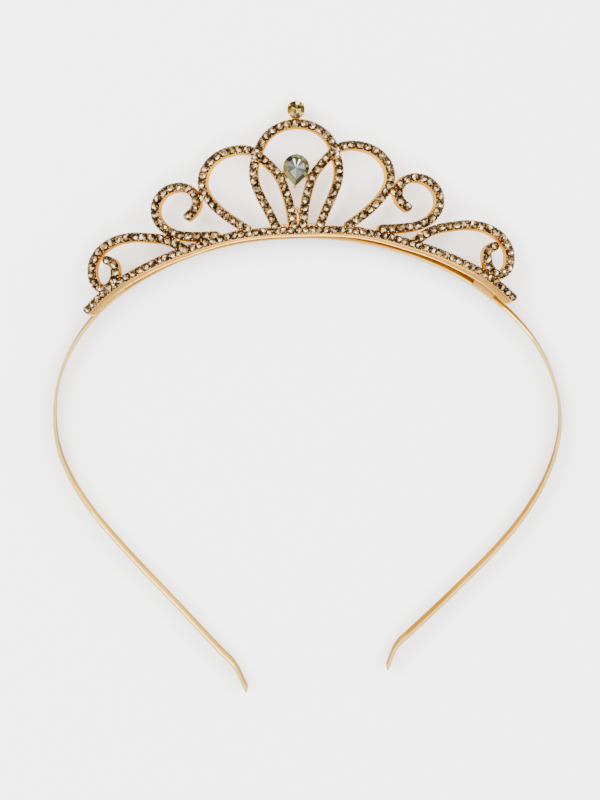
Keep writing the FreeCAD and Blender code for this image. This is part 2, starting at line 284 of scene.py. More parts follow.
def stations_along(line, step, nose, widths=None):
    """The places where the section stands, with rounded ends of this length."""
    count = max(4, round(length_of(line) / step))
    stops = even_steps(line, count)
    rows = []
    for i, (place, way) in enumerate(stops):
        rows.append((place, way, widths(place) if widths else 1.0))
    for end, sign in ((0, -1), (-1, 1)):
        place, way, width = rows[end]
        for i in range(1, NOSE_STEPS + 1):
            angle = math.radians(NOSE_ANGLE * i / NOSE_STEPS)
            row = (place + way * (sign * nose * math.sin(angle)), way, width * math.cos(angle))
            if sign < 0:
                rows.insert(0, row)
            else:
                rows.append(row)
    matrices = []
    for place, way, width in rows:
        left = Vector((-way.y, way.x, 0))
        turn = Matrix((way, left, Vector((0, 0, 1)))).transposed().to_4x4()
        matrices.append(Matrix.Translation(place) @ turn @ Matrix.Scale(width, 4, (0, 1, 0)))
    return matrices


def sweep(bm, matrices, section):
    """Extrudes a closed section of (sideways, upwards) corners from station to station."""
    verts = [bm.verts.new((0, side, up)) for side, up in section]
    ring = [bm.edges.new(pair) for pair in zip(verts, verts[1:] + verts[:1])]
    bmesh.ops.transform(bm, matrix=matrices[0], verts=verts)
    bmesh.ops.contextual_create(bm, geom=ring)
    for before, after in zip(matrices, matrices[1:]):
        made = bmesh.ops.extrude_edge_only(bm, edges=ring)["geom"]
        verts = [item for item in made if isinstance(item, bmesh.types.BMVert)]
        fresh = set(verts)
        ring = [item for item in made
                if isinstance(item, bmesh.types.BMEdge) and fresh.issuperset(item.verts)]
        bmesh.ops.transform(bm, matrix=after @ before.inverted(), verts=verts)
    bmesh.ops.contextual_create(bm, geom=ring)


def stand_on_crown(bm):
    """Bends the two sides of the crown back, leans it and puts it in its place."""
    for vert in bm.verts:
        share = min(max((abs(vert.co.x) - WALL_TURN_FROM) / WALL_TURN_OVER, 0.0), 1.0)
        vert.co.x += math.copysign(share * WALL_TURN, vert.co.x) * min(vert.co.z, 0.0)
        vert.co.z -= max(abs(vert.co.x) - WING_START, 0.0) * math.tan(WING_TURN)
    bmesh.ops.rotate(bm, verts=bm.verts, matrix=Matrix.Rotation(-CROWN_LEAN, 3, "X"))
    bmesh.ops.translate(bm, verts=bm.verts, vec=MIDDLE + Vector((0, 0, CROWN_FRONT)))
    bmesh.ops.scale(bm, verts=bm.verts, vec=(MM, MM, MM))


def lay_with_band(bm):
    """Slants a piece as the headband is slanted, and puts it in its place."""
    slant = Matrix.Identity(4)
    slant[0][2] = -BAND_SLANT["right"] / BAND_DEPTH
    slant[1][2] = -BAND_SLANT["up"] / BAND_DEPTH
    slant[0][3] = BAND_SLANT["right"] + MIDDLE.x
    slant[1][3] = BAND_SLANT["up"] + MIDDLE.y
    bmesh.ops.transform(bm, matrix=slant, verts=bm.verts)
    bmesh.ops.scale(bm, verts=bm.verts, vec=(MM, MM, MM))


def finished(bm, name, finish, smooth_below=40):
    """Makes the mesh an object of the crown, with its finish."""
    bmesh.ops.recalc_face_normals(bm, faces=bm.faces)
    mesh = bpy.data.meshes.new(name)
    bm.to_mesh(mesh)
    bm.free()
    mesh.materials.append(finish)
    if smooth_below:
        mesh.shade_smooth()
        mesh.set_sharp_from_angle(angle=math.radians(smooth_below))
    piece = bpy.data.objects.new(name, mesh)
    bpy.context.scene.collection.objects.link(piece)
    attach(piece, "root")
    print("%-18s %6d faces" % (name, len(mesh.polygons)))
    return piece


# %% [markdown]
# ## Light gold plating
# All the metal has one finish: bright, rather pale, slightly pink gold over a cheap base metal.
# Plating like this is never even. It is a little deeper in tone in some places, and fine wiping
# marks make the mirror slightly soft. Walls that face other gold mirror it and look deeper and
# more orange than edges do. That reflection is painted in: a number on each face says how much of
# a wall it is, and pulls its tone towards the deep one. These effects go into one node group, and
# the headband and the crown each take their own strength.

# %% A group for uneven plating and painted reflection
plating_and_reflection = bpy.data.node_groups.new("uneven_plating_and_painted_reflection", "ShaderNodeTree")
sockets = plating_and_reflection.interface
for name in ("Light", "Deep"):
    sockets.new_socket(name=name, in_out="INPUT", socket_type="NodeSocketColor")
for name in ("Patch Scale", "Painted Reflection", "Smooth", "Rough"):
    sockets.new_socket(name=name, in_out="INPUT", socket_type="NodeSocketFloat")
sockets.new_socket(name="Color", in_out="OUTPUT", socket_type="NodeSocketColor")
for name in ("Roughness", "Marks"):
    sockets.new_socket(name=name, in_out="OUTPUT", socket_type="NodeSocketFloat")

nodes, links = plating_and_reflection.nodes, plating_and_reflection.links
inside = nodes.new("NodeGroupInput")
outside = nodes.new("NodeGroupOutput")
coords = nodes.new("ShaderNodeTexCoord")
patches = nodes.new("ShaderNodeTexNoise")
patches.inputs["Detail"].default_value = 3.0
marks = nodes.new("ShaderNodeTexNoise")
marks.inputs["Scale"].default_value = 2600.0
marks.inputs["Detail"].default_value = 4.0
tone = nodes.new("ShaderNodeMix")
tone.data_type = "RGBA"
polish = nodes.new("ShaderNodeMapRange")
polish.inputs["From Min"].default_value = 0.3
polish.inputs["From Max"].default_value = 0.7
links.new(coords.outputs["Object"], patches.inputs["Vector"])
links.new(coords.outputs["Object"], marks.inputs["Vector"])
links.new(inside.outputs["Patch Scale"], patches.inputs["Scale"])
# painted reflection: the walls number on each face pulls its tone towards the deep colour
walls = nodes.new("ShaderNodeAttribute")
walls.attribute_name = "walls"
deeper = nodes.new("ShaderNodeMath")
deeper.operation = "MULTIPLY_ADD"
deeper.use_clamp = True
links.new(walls.outputs["Fac"], deeper.inputs[0])
links.new(inside.outputs["Painted Reflection"], deeper.inputs[1])
spread = nodes.new("ShaderNodeMapRange")
spread.inputs["From Min"].default_value = 0.35
spread.inputs["From Max"].default_value = 0.75
spread.inputs["To Max"].default_value = 0.35
links.new(patches.outputs["Fac"], spread.inputs["Value"])
links.new(spread.outputs["Result"], deeper.inputs[2])
links.new(deeper.outputs["Value"], tone.inputs["Factor"])
links.new(inside.outputs["Light"], tone.inputs["A"])
links.new(inside.outputs["Deep"], tone.inputs["B"])
links.new(marks.outputs["Fac"], polish.inputs["Value"])
links.new(inside.outputs["Smooth"], polish.inputs["To Min"])
links.new(inside.outputs["Rough"], polish.inputs["To Max"])
links.new(tone.outputs["Result"], outside.inputs["Color"])
links.new(polish.outputs["Result"], outside.inputs["Roughness"])
links.new(marks.outputs["Fac"], outside.inputs["Marks"])
print("group sockets:", len(sockets.items_tree))


# %% [markdown]
# A mirror turns white where it is seen at a glancing angle, but gold keeps much of its colour
# there. The headband's walls are seen that way from above, so the finish has a tint for it.

# %% Gold for the headband and for the crown
GLANCING_TINT = (0.62, 0.40, 0.16, 1)
MARK_DEPTH = 0.02 * MM


def gold(name, light, deep, patch_scale, painted_reflection, smooth, rough, marks):
    """Plated metal with its own tones, its own polish and its own share of painted reflection."""
    finish = bpy.data.materials.new(name)
    finish.use_nodes = True
    tree = finish.node_tree
    shader = tree.nodes["Principled BSDF"]
    shader.inputs["Metallic"].default_value = 1.0
    shader.inputs["Specular Tint"].default_value = GLANCING_TINT
    group = tree.nodes.new("ShaderNodeGroup")
    group.node_tree = plating_and_reflection
    group.inputs["Light"].default_value = light
    group.inputs["Deep"].default_value = deep
    group.inputs["Patch Scale"].default_value = patch_scale
    group.inputs["Painted Reflection"].default_value = painted_reflection
    group.inputs["Smooth"].default_value = smooth
    group.inputs["Rough"].default_value = rough
    bump = tree.nodes.new("ShaderNodeBump")
    bump.inputs["Strength"].default_value = marks
    bump.inputs["Distance"].default_value = MARK_DEPTH
    tree.links.new(group.outputs["Color"], shader.inputs["Base Color"])
    tree.links.new(group.outputs["Roughness"], shader.inputs["Roughness"])
    tree.links.new(group.outputs["Marks"], bump.inputs["Height"])
    tree.links.new(bump.outputs["Normal"], shader.inputs["Normal"])
    return finish


# The headband's deep tone is mostly its painted reflection on walls; the crown takes none, so its
# deep tone is only uneven plating.
band_gold = gold("band_gold", light=(0.86, 0.60, 0.20, 1), deep=(0.19, 0.080, 0.004, 1),
                 patch_scale=45.0, painted_reflection=1.0, smooth=0.26, rough=0.38, marks=0.3)
crown_gold = gold("crown_gold", light=(0.72, 0.42, 0.10, 1), deep=(0.37, 0.155, 0.014, 1),
                  patch_scale=160.0, painted_reflection=0.0, smooth=0.12, rough=0.26, marks=0.4)
print("finishes:", band_gold.name, crown_gold.name)

# %% [markdown]
# ## The headband
# It is a flat steel strip bent on edge into a hoop, five millimetres deep and under one thick.
# Its edges are rounded by tumbling and plating. A section with clipped corners is run along the
# whole line, and the piece is then slanted, because the hoop was pressed slightly askew. Each
# face's wall number, which paints a reflection into its tone, grows towards the crown, whose gold
# the band mirrors, and is smaller on the left, where the band turns away from it.

# %% Headband
BAND_HALF = 0.4
BAND_EDGE = 0.14
BAND_STEP = 1.2
CROWN_NEAR_FROM = 12.0
CROWN_NEAR_OVER = 12.0
PAINTED_REFLECTION_NUMBER = {"plain": 0.6, "near_crown": 0.7, "left": 0.75}

band_section = [
    (-BAND_HALF, BAND_EDGE), (-BAND_HALF + BAND_EDGE, 0.0),
    (BAND_HALF - BAND_EDGE, 0.0), (BAND_HALF, BAND_EDGE),
    (BAND_HALF, BAND_DEPTH - BAND_EDGE), (BAND_HALF - BAND_EDGE, BAND_DEPTH),
    (-BAND_HALF + BAND_EDGE, BAND_DEPTH), (-BAND_HALF, BAND_DEPTH - BAND_EDGE),
]
bm = bmesh.new()
sweep(bm, stations_along(band_line, BAND_STEP, BAND_HALF), band_section)
lay_with_band(bm)
bmesh.ops.recalc_face_normals(bm, faces=bm.faces)
# painted reflection: a face's number grows as it turns sideways, nearer the crown and on the
# right, and deepens its orange
walls = bm.faces.layers.float.new("walls")
for face in bm.faces:
    middle = face.calc_center_median()
    near_crown = min(max((middle.y / MM - CROWN_NEAR_FROM) / CROWN_NEAR_OVER, 0.0), 1.0)
    facing = 1.0 if middle.x > 0 else PAINTED_REFLECTION_NUMBER["left"]
    mirrored = PAINTED_REFLECTION_NUMBER["plain"] + PAINTED_REFLECTION_NUMBER["near_crown"] * near_crown * facing
    face[walls] = (1.0 - abs(face.normal.z)) * mirrored
headband = finished(bm, "headband_strip", band_gold)
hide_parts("headband")

# %% [markdown]
# ## Rails
# Each rail is a cast channel: two thin rims stand up on both sides of a floor that the stones
# are set in. Its outer walls spread a little towards the back, which is what a casting needs to
# leave its mould, and from above this shows as a pale line along the rail. All rails use one
# section, and the base bar a narrower one.

# %% Channel section
RAIL_HALF = 1.2
RAIL_STEP = 0.7
RAIL_NOSE = 1.05
BAR_HALF = 1.12
BAR_STEP = 0.9
BAR_NOSE = 0.85
RAIL_DEPTH = 2.2
WALL_SPREAD = 0.1
RIM = 0.16
CHANNEL_DEPTH = 0.55


def channel_section(half):
    """A closed loop: back, outer walls, rounded rims and the channel's floor."""
    right = [
        # sideways, up
        (half + WALL_SPREAD, -RAIL_DEPTH), (half, -0.36), (half - 0.05, -0.2),
        (half - RIM / 2, -0.14), (half - RIM, -0.22), (half - RIM - 0.05, -CHANNEL_DEPTH),
    ]
    left = [(-side, up) for side, up in reversed(right)]
    return right + left


bm = bmesh.new()
for name, line in rail_lines.items():
    sweep(bm, stations_along(line, RAIL_STEP, RAIL_NOSE), channel_section(RAIL_HALF))
sweep(bm, stations_along(bar_line, BAR_STEP, BAR_NOSE), channel_section(BAR_HALF))
stand_on_crown(bm)
rails = finished(bm, "rails", crown_gold)
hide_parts("crown_frame")

# %% [markdown]
# ## Foot, tabs and solder
# Under the base bar the casting has a lip that gets wider towards both ends. Two short tabs
# carry the bar's ends on the headband. Where rails meet, solder has flowed into the corners and
# left small smooth webs.

# %% Foot under the base bar
FOOT_DEPTH = 1.2
FOOT_IN_MIDDLE = 0.4
FOOT_AT_END = {"left": 0.9, "right": 1.3}
FOOT_NOSE = 0.6
BAR_WALL = 1.15
BAR_END = BASE_BAR[-1][0]


def foot_width(place):
    """How wide the foot is here, from the bar's middle to the lip's edge."""
    at_end = FOOT_AT_END["right" if place.x > 0 else "left"]
    return BAR_WALL + FOOT_IN_MIDDLE + (at_end - FOOT_IN_MIDDLE) * (place.x / BAR_END) ** 2


FOOT_SECTION = [
    # sideways in foot widths, up
    (0.0, -RAIL_DEPTH), (0.0, -RAIL_DEPTH + FOOT_DEPTH),
    (-0.9, -RAIL_DEPTH + FOOT_DEPTH), (-1.0, -RAIL_DEPTH + FOOT_DEPTH - 0.12),
    (-1.0, -RAIL_DEPTH),
]
bm = bmesh.new()
sweep(bm, stations_along(bar_line, BAR_STEP, FOOT_NOSE, foot_width), FOOT_SECTION)
stand_on_crown(bm)
foot = finished(bm, "foot", crown_gold)
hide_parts("crown_frame")

# %% Tabs
TAB_FROM, TAB_TO = 46.0, 51.4
TAB_STEP = 0.8
TAB_NOSE = 0.5
LEGS_BELOW = -30.0
TAB_SECTION = [
    # outwards from the band's middle, up
    (0.46, 2.8), (2.6, 2.8), (3.0, 3.1), (3.0, 5.5), (2.8, 5.7), (0.6, 5.7), (0.46, 5.55),
]
bm = bmesh.new()
for side in (1, -1):
    part_line = [p for p in band_line
                 if TAB_FROM <= side * p.x <= TAB_TO and p.y > LEGS_BELOW]
    sweep(bm, stations_along(part_line, TAB_STEP, TAB_NOSE), TAB_SECTION)
lay_with_band(bm)
tabs = finished(bm, "tabs", crown_gold)
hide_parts("crown_frame")

# %% Solder webs
WEB_DEPTH = 0.7
WEBS = [
    # x, y, half length, half width, turn in degrees, height of its top
    (-11.2, 20.5, 1.3, 0.9, 70.0, 0.1),
    (10.8, 21.5, 1.3, 0.9, -70.0, 0.1),
    (-0.1, 7.7, 0.5, 0.5, 0.0, 0.3),
    (0.0, 4.9, 2.5, 0.4, 90.0, -0.35),
    (-3.6, 3.2, 1.3, 0.5, 0.0, -0.4),
    (3.6, 3.2, 1.3, 0.5, 0.0, -0.4),
    (-25.4, 11.4, 1.0, 0.8, 60.0, 0.0),
    (25.7, 11.4, 1.0, 0.8, -60.0, 0.0),
    (-32.6, 0.2, 1.2, 0.7, 20.0, -0.1),
    (33.0, 0.0, 1.2, 0.7, -20.0, -0.1),
    (-16.5, 1.9, 1.8, 0.6, 8.0, -0.4),
    (16.5, 1.9, 1.8, 0.6, -8.0, -0.4),
]
bm = bmesh.new()
for x, y, long, wide, turned, top in WEBS:
    place = (Matrix.Translation((x, y, top - WEB_DEPTH))
             @ Matrix.Rotation(math.radians(turned), 4, "Z")
             @ Matrix.Diagonal((long, wide, WEB_DEPTH, 1)))
    bmesh.ops.create_uvsphere(bm, u_segments=20, v_segments=10, radius=1.0, matrix=place)
stand_on_crown(bm)
solder = finished(bm, "solder_webs", crown_gold)
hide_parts("crown_frame")

# %% [markdown]
# ## The small stones
# Each rail carries a row of round clear stones of about two millimetres, with a dark gap between
# one and the next. A cut stone sparkles because each facet mirrors another part of the room, so
# next to a white facet is a black one. At this size these reflections are painted on the facets
# directly: every face gets a number of its own, partly by chance and partly lighter on the side
# the light comes from, and the finish turns the numbers into white, sand, brown and near black.
# The stone is a low cone with a flat top, cut into few faces, because there are hundreds. The
# numbers are drawn in a fixed order, one for each sector at each level of a stone, because the
# order in which Blender lists faces can change from one run to the next.

# %% One stone and the rows
random.seed(20251)
RAIL_PITCH = 2.2
RAIL_STONE = 1.14
BAR_PITCH = 1.92
BAR_STONE = 0.99
ROW_INSET = 0.3
FINE_STEPS = 40                              # to each stone, for even places along a row
FACETS = 8
SECTORS = 2 * FACETS
CUT = {
    # in stone radii
    "crown": 0.42, "table": 0.66, "table_step": 0.3, "pavilion": 0.5, "culet": 0.3,
}
TIP = {
    # how far a stone may stand off, in degrees and in millimetres
    "tilt": 6, "turn": 22, "lift": 0.04,
}
BRIGHT_WAY = {"mostly": -90.0, "spread": 60.0}
LIT_SHARE = {"centre": 0.45, "step": 0.50, "slope": 0.25}
BELOW_MOST = 0.4
CENTRE_NUMBERS = {"least": 0.05, "range": 0.5}
STEP_NUMBERS = (0.02, 0.2, 0.35, 0.5)
SLOPE_NUMBERS = (0.0, 0.1, 0.3, 0.55)


def bearing_of(middle):
    """Which way a facet lies from its stone's axis, in degrees from 0 to 360."""
    x, y = round(middle.x, 3) + 0.0, round(middle.y, 3) + 0.0
    return math.degrees(math.atan2(y, x)) % 360.0


def draws(levels, sectors):
    """Numbers from 0 to 1, a row of them for each level."""
    return [[random.random() for _ in range(sectors)] for _ in range(levels)]


def pick(choices, chance):
    """One of some choices, by a number from 0 to 1."""
    return choices[int(len(choices) * chance)]


def cut_stone(bm, glint, radius, place):
    """A round stone: a point below, a girdle, sloped facets and a flat table."""
    ring = bmesh.ops.create_circle(bm, segments=FACETS, radius=radius, cap_ends=False)["verts"]
    girdle = [edge for edge in bm.edges if set(edge.verts) <= set(ring)]
    upper = bmesh.ops.extrude_edge_only(bm, edges=girdle)["geom"]
    upper_verts = [item for item in upper if isinstance(item, bmesh.types.BMVert)]
    rise = (Matrix.Translation((0, 0, CUT["crown"] * radius))
            @ Matrix.Rotation(math.pi / FACETS, 4, "Z")
            @ Matrix.Diagonal((CUT["table"], CUT["table"], 1, 1)))
    bmesh.ops.transform(bm, matrix=rise, verts=upper_verts)
    table_edges = [item for item in upper if isinstance(item, bmesh.types.BMEdge)
                   and set(item.verts) <= set(upper_verts)]
    table = bmesh.ops.contextual_create(bm, geom=table_edges)["faces"]
    steps = bmesh.ops.inset_individual(bm, faces=table,
                                       thickness=CUT["table_step"] * radius)["faces"]
    star = bmesh.ops.poke(bm, faces=table)
    lower = bmesh.ops.extrude_edge_only(bm, edges=girdle)["geom"]
    lower_verts = [item for item in lower if isinstance(item, bmesh.types.BMVert)]
    sink = (Matrix.Translation((0, 0, -CUT["pavilion"] * radius))
            @ Matrix.Diagonal((CUT["culet"], CUT["culet"], 1, 1)))
    bmesh.ops.transform(bm, matrix=sink, verts=lower_verts)
    lower_edges = [item for item in lower if isinstance(item, bmesh.types.BMEdge)
                   and set(item.verts) <= set(lower_verts)]
    bmesh.ops.contextual_create(bm, geom=lower_edges)
    sides = [item for item in upper if isinstance(item, bmesh.types.BMFace)]
    bmesh.ops.triangulate(bm, faces=sides)
    whole = ring + upper_verts + lower_verts + star["verts"]
    whole += list({vert for face in steps for vert in face.verts} - set(whole))
    # painted light: facets on the side of bright_way get lighter numbers, the rest by chance
    bright_way = random.gauss(BRIGHT_WAY["mostly"], BRIGHT_WAY["spread"])
    below, centre, step, slope = draws(4, SECTORS)
    for face in {face for vert in whole for face in vert.link_faces}:
        middle = face.calc_center_median()
        bearing = bearing_of(middle)
        lit = 0.5 + 0.5 * math.cos(math.radians(bearing - bright_way))
        sector = round(bearing * SECTORS / 360.0) % SECTORS
        if middle.z < 0:
            face[glint] = BELOW_MOST * below[sector]
        elif star["verts"][0] in face.verts:
            by_chance = CENTRE_NUMBERS["least"] + CENTRE_NUMBERS["range"] * centre[sector]
            face[glint] = LIT_SHARE["centre"] * lit + by_chance
        elif face in steps:
            face[glint] = LIT_SHARE["step"] * lit + pick(STEP_NUMBERS, step[sector])
        else:
            face[glint] = LIT_SHARE["slope"] * lit + pick(SLOPE_NUMBERS, slope[sector])
    bmesh.ops.transform(bm, matrix=place, verts=whole)


def stone_row(bm, glint, line, pitch, radius):
    """A row of stones along a line; gives the places halfway between them."""
    total = length_of(line)
    count = max(2, round((total - 2 * ROW_INSET) / pitch))
    fine = even_steps(line, FINE_STEPS * count)
    stops = []
    for i in range(2 * count + 1):
        along = (ROW_INSET + (total - 2 * ROW_INSET) * i / (2 * count)) / total
        stops.append(fine[round(along * FINE_STEPS * count)])
    for place, _ in stops[0::2]:
        tilt = math.radians(random.uniform(-TIP["tilt"], TIP["tilt"]))
        turned = math.radians(random.uniform(-TIP["turn"], TIP["turn"]))
        tip = Matrix.Rotation(tilt, 4, "X") @ Matrix.Rotation(turned, 4, "Z")
        lift = Vector((0, 0, random.uniform(-TIP["lift"], TIP["lift"])))
        cut_stone(bm, glint, radius, Matrix.Translation(place + lift) @ tip)
    return stops[1::2]


bm = bmesh.new()
glint = bm.faces.layers.float.new("glint")
between_rail_stones = []
for name, line in rail_lines.items():
    between_rail_stones += stone_row(bm, glint, line, RAIL_PITCH, RAIL_STONE)
between_bar_stones = stone_row(bm, glint, bar_line, BAR_PITCH, BAR_STONE)
stand_on_crown(bm)
print("stones:", len(between_rail_stones) + len(between_bar_stones) + len(rail_lines) + 1)


# %% Facets with tones by number
def facet_finish(name, roughness, mirror, tones):
    """A finish that turns each face's number into one flat tone: a painted reflection."""
    finish = bpy.data.materials.new(name)
    finish.use_nodes = True
    tree = finish.node_tree
    shader = tree.nodes["Principled BSDF"]
    shader.inputs["Roughness"].default_value = roughness
    shader.inputs["Specular IOR Level"].default_value = mirror
    number = tree.nodes.new("ShaderNodeAttribute")
    number.attribute_name = "glint"
    ramp = tree.nodes.new("ShaderNodeValToRGB")
    ramp.color_ramp.interpolation = "CONSTANT"
    stops = ramp.color_ramp.elements
    for i, (start, colour) in enumerate(tones):
        stop = stops[i] if i < 2 else stops.new(start)
        stop.position = start
        stop.color = colour
    tree.links.new(number.outputs["Fac"], ramp.inputs["Fac"])
    tree.links.new(ramp.outputs["Color"], shader.inputs["Base Color"])
    return finish


# painted reflections of the facets, from near black to white
GLINTS = [
    # from, colour
    (0.00, (0.0025, 0.0013, 0.0008, 1)),
    (0.22, (0.0220, 0.0090, 0.0020, 1)),
    (0.36, (0.0600, 0.0330, 0.0090, 1)),
    (0.50, (0.1450, 0.0830, 0.0300, 1)),
    (0.64, (0.2800, 0.1780, 0.0800, 1)),
    (0.79, (0.5000, 0.3600, 0.1950, 1)),
    (0.93, (0.9500, 0.8700, 0.7000, 1)),
]
stone_finish = facet_finish("clear_facets", 0.12, 0.12, GLINTS)
small_stones = finished(bm, "small_stones", stone_finish, smooth_below=0)
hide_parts("stone_paving")

# %% [markdown]
# ## Bed and beads
# Between the stones one looks down into the channel, which is dark because hardly any light
# comes back out of it. A thin dark bed is that shade, painted: a patchy near-black sheet on the
# channel's floor. Small beads of metal, raised from the rims and pressed over the stones, hold
# each stone from both sides.

# %% Bed
BED_FROM, BED_TO = -0.6, -0.3
BED_GAP = 0.01
BED_STEPS = {"rail": 0.9, "bar": 1.1}
BED_NOSES = {"rail": 0.9, "bar": 0.72}

# painted shade: a patchy near-black finish in place of the shade between the stones
bed_finish = bpy.data.materials.new("shaded_bed")
bed_finish.use_nodes = True
tree = bed_finish.node_tree
shader = tree.nodes["Principled BSDF"]
shader.inputs["Roughness"].default_value = 0.6
shader.inputs["Specular IOR Level"].default_value = 0.1
shade_patches = tree.nodes.new("ShaderNodeTexNoise")
shade_patches.inputs["Scale"].default_value = 900.0
coords = tree.nodes.new("ShaderNodeTexCoord")
shade_tones = tree.nodes.new("ShaderNodeValToRGB")
shade_tones.color_ramp.elements[0].position = 0.35
shade_tones.color_ramp.elements[0].color = (0.004, 0.002, 0.001, 1)
shade_tones.color_ramp.elements[1].position = 0.7
shade_tones.color_ramp.elements[1].color = (0.09, 0.045, 0.012, 1)
tree.links.new(coords.outputs["Object"], shade_patches.inputs["Vector"])
tree.links.new(shade_patches.outputs["Fac"], shade_tones.inputs["Fac"])
tree.links.new(shade_tones.outputs["Color"], shader.inputs["Base Color"])


def bed_section(half):
    """A thin strip on the channel's floor."""
    return [(half, BED_FROM), (half, BED_TO), (-half, BED_TO), (-half, BED_FROM)]


bm = bmesh.new()
for name, line in rail_lines.items():
    sweep(bm, stations_along(line, BED_STEPS["rail"], BED_NOSES["rail"]),
          bed_section(RAIL_HALF - RIM - BED_GAP))
sweep(bm, stations_along(bar_line, BED_STEPS["bar"], BED_NOSES["bar"]),
      bed_section(BAR_HALF - RIM - BED_GAP))
stand_on_crown(bm)
bed = finished(bm, "painted_shade_bed", bed_finish)
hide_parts("stone_paving")

# %% Beads
BEAD = 0.2
BEAD_UP = 0.06
BEADS_OUT = [
    # places between stones, from the row's middle to each bead
    (between_rail_stones, 0.95),
    (between_bar_stones, 0.84),
]
bm = bmesh.new()
for stops, reach in BEADS_OUT:
    for place, way in stops:
        for side in (1, -1):
            at = place + Vector((-way.y, way.x, 0)) * (side * reach) + Vector((0, 0, BEAD_UP))
            bmesh.ops.create_icosphere(bm, subdivisions=1, radius=BEAD,
                                       matrix=Matrix.Translation(at))
stand_on_crown(bm)
beads = finished(bm, "beads", crown_gold, smooth_below=80)
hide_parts("stone_paving")

# %% [markdown]
# ## The top stone
# A round stone of over four millimetres stands by itself on a short stem, glued into a plain
# cup. Its foil mirrors the gold cup, so it looks amber with a dark middle; that reflection is
# painted on its facets, one flat tone each. Both are round pieces, so each is a short profile
# spun about the stone's own axis; few steps keep the stone's facets.

# %% Cup and stem
TOP_STONE = {
    "x": 0.5, "y": 34.25, "radius": 2.15, "table": 1.25,
    "point": -1.3, "girdle": 0.15, "crown": 0.8,
}
CUP_STEPS = 48
CUP = [
    # radius, height: the back, the outside, the rim and the seat
    (0.0, -2.2), (1.75, -2.2), (1.95, -2.0), (2.4, -0.2), (2.42, 0.05), (2.34, 0.16),
    (2.24, 0.1), (2.18, -0.1), (1.0, -1.2), (0.0, -1.45),
]
PRONGS_AT = (35, 145, 215, 325)
PRONG = {"out": 2.2, "up": 0.12, "long": 0.42, "wide": 0.3, "high": 0.32}
STEM = {"x": 0.35, "y": 31.6, "up": -1.35, "wide": 3.0, "long": 1.8, "deep": 1.5, "edge": 0.3}
MERGE_WITHIN = 0.001
top_at = Vector((TOP_STONE["x"], TOP_STONE["y"], 0))


def spun(bm, profile, steps, at):
    """Spins a profile of (radius, height) corners about an upright line."""
    verts = [bm.verts.new((radius, 0, height)) for radius, height in profile]
    edges = [bm.edges.new(pair) for pair in zip(verts, verts[1:])]
    bmesh.ops.spin(bm, geom=verts + edges, cent=(0, 0, 0), axis=(0, 0, 1), dvec=(0, 0, 0),
                   angle=2 * math.pi, steps=steps, use_merge=True, use_duplicate=False)
    bmesh.ops.remove_doubles(bm, verts=bm.verts, dist=MERGE_WITHIN)
    bmesh.ops.translate(bm, verts=bm.verts, vec=at)


def rounded_block(bm, place, edge_radius, segments):
    """A unit cube put in its place, with its edges rounded off."""
    corners = set(bmesh.ops.create_cube(bm, size=1.0, matrix=place)["verts"])
    edges = [edge for edge in bm.edges if set(edge.verts) <= corners]
    bmesh.ops.bevel(bm, geom=edges, offset=edge_radius, segments=segments, profile=0.5,
                    affect="EDGES", material=-1)


bm = bmesh.new()
spun(bm, CUP, CUP_STEPS, top_at)
for angle in PRONGS_AT:
    prong = (Matrix.Translation(top_at) @ Matrix.Rotation(math.radians(angle), 4, "Z")
             @ Matrix.Translation((PRONG["out"], 0, PRONG["up"]))
             @ Matrix.Diagonal((PRONG["long"], PRONG["wide"], PRONG["high"], 1)))
    bmesh.ops.create_uvsphere(bm, u_segments=12, v_segments=8, radius=1.0, matrix=prong)
stem_place = (Matrix.Translation((STEM["x"], STEM["y"], STEM["up"]))
              @ Matrix.Diagonal((STEM["wide"], STEM["long"], STEM["deep"], 1)))
rounded_block(bm, stem_place, STEM["edge"], segments=3)
stand_on_crown(bm)
cup = finished(bm, "top_cup", crown_gold)
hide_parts("crown_frame")

# %% Top stone
TOP_SECTORS = 12
TOP_LEVELS = [
    # up to this height, the numbers that its facets may have
    (0.0, (0.1, 0.3, 0.5, 0.75)),
    (0.3, (0.1, 0.3, 0.5, 0.75)),
    (0.7, (0.1, 0.3, 0.5, 0.5, 0.75, 0.95)),
    (0.9, (0.1, 0.3, 0.3, 0.5, 0.75)),
]
bm = bmesh.new()
spun(bm, [
    (0.0, TOP_STONE["point"]), (TOP_STONE["radius"], 0.0),
    (TOP_STONE["radius"], TOP_STONE["girdle"]), (TOP_STONE["table"], TOP_STONE["crown"]),
    (0.0, TOP_STONE["crown"]),
], TOP_SECTORS, top_at)
top_glint = bm.faces.layers.float.new("glint")
# painted reflection: one flat tone for each facet, darker on the table
top_draws = draws(len(TOP_LEVELS), TOP_SECTORS)
for face in bm.faces:
    middle = face.calc_center_median() - top_at
    level = next(i for i, (up_to, _) in enumerate(TOP_LEVELS) if middle.z <= up_to)
    sector = int(bearing_of(middle) * TOP_SECTORS / 360.0)
    face[top_glint] = pick(TOP_LEVELS[level][1], top_draws[level][sector])
stand_on_crown(bm)

AMBERS = [
    # from, colour
    (0.00, (0.0040, 0.0020, 0.0006, 1)),
    (0.26, (0.0300, 0.0170, 0.0020, 1)),
    (0.48, (0.1100, 0.0700, 0.0080, 1)),
    (0.70, (0.3000, 0.2100, 0.0350, 1)),
    (0.88, (0.8000, 0.6600, 0.2600, 1)),
]
amber_finish = facet_finish("amber_facets", 0.1, 0.15, AMBERS)
top_stone = finished(bm, "top_gem", amber_finish, smooth_below=0)
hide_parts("top_stone")

# %% [markdown]
# ## The pear stone
# A drop-shaped stone hangs between the inner petals in a thin setting with small claws. It is
# clear, with a wide sloped border that mirrors the gold around it as olive and bronze, and a
# table whose long facets run to the point. These reflections are painted on its faces, one flat
# tone each: olive and bronze on the border, a dark crescent at the head and a bright V on the
# table. The outline is a round head with two flanks. It is inset twice: once for the border and
# once for the ring of facets round the table.

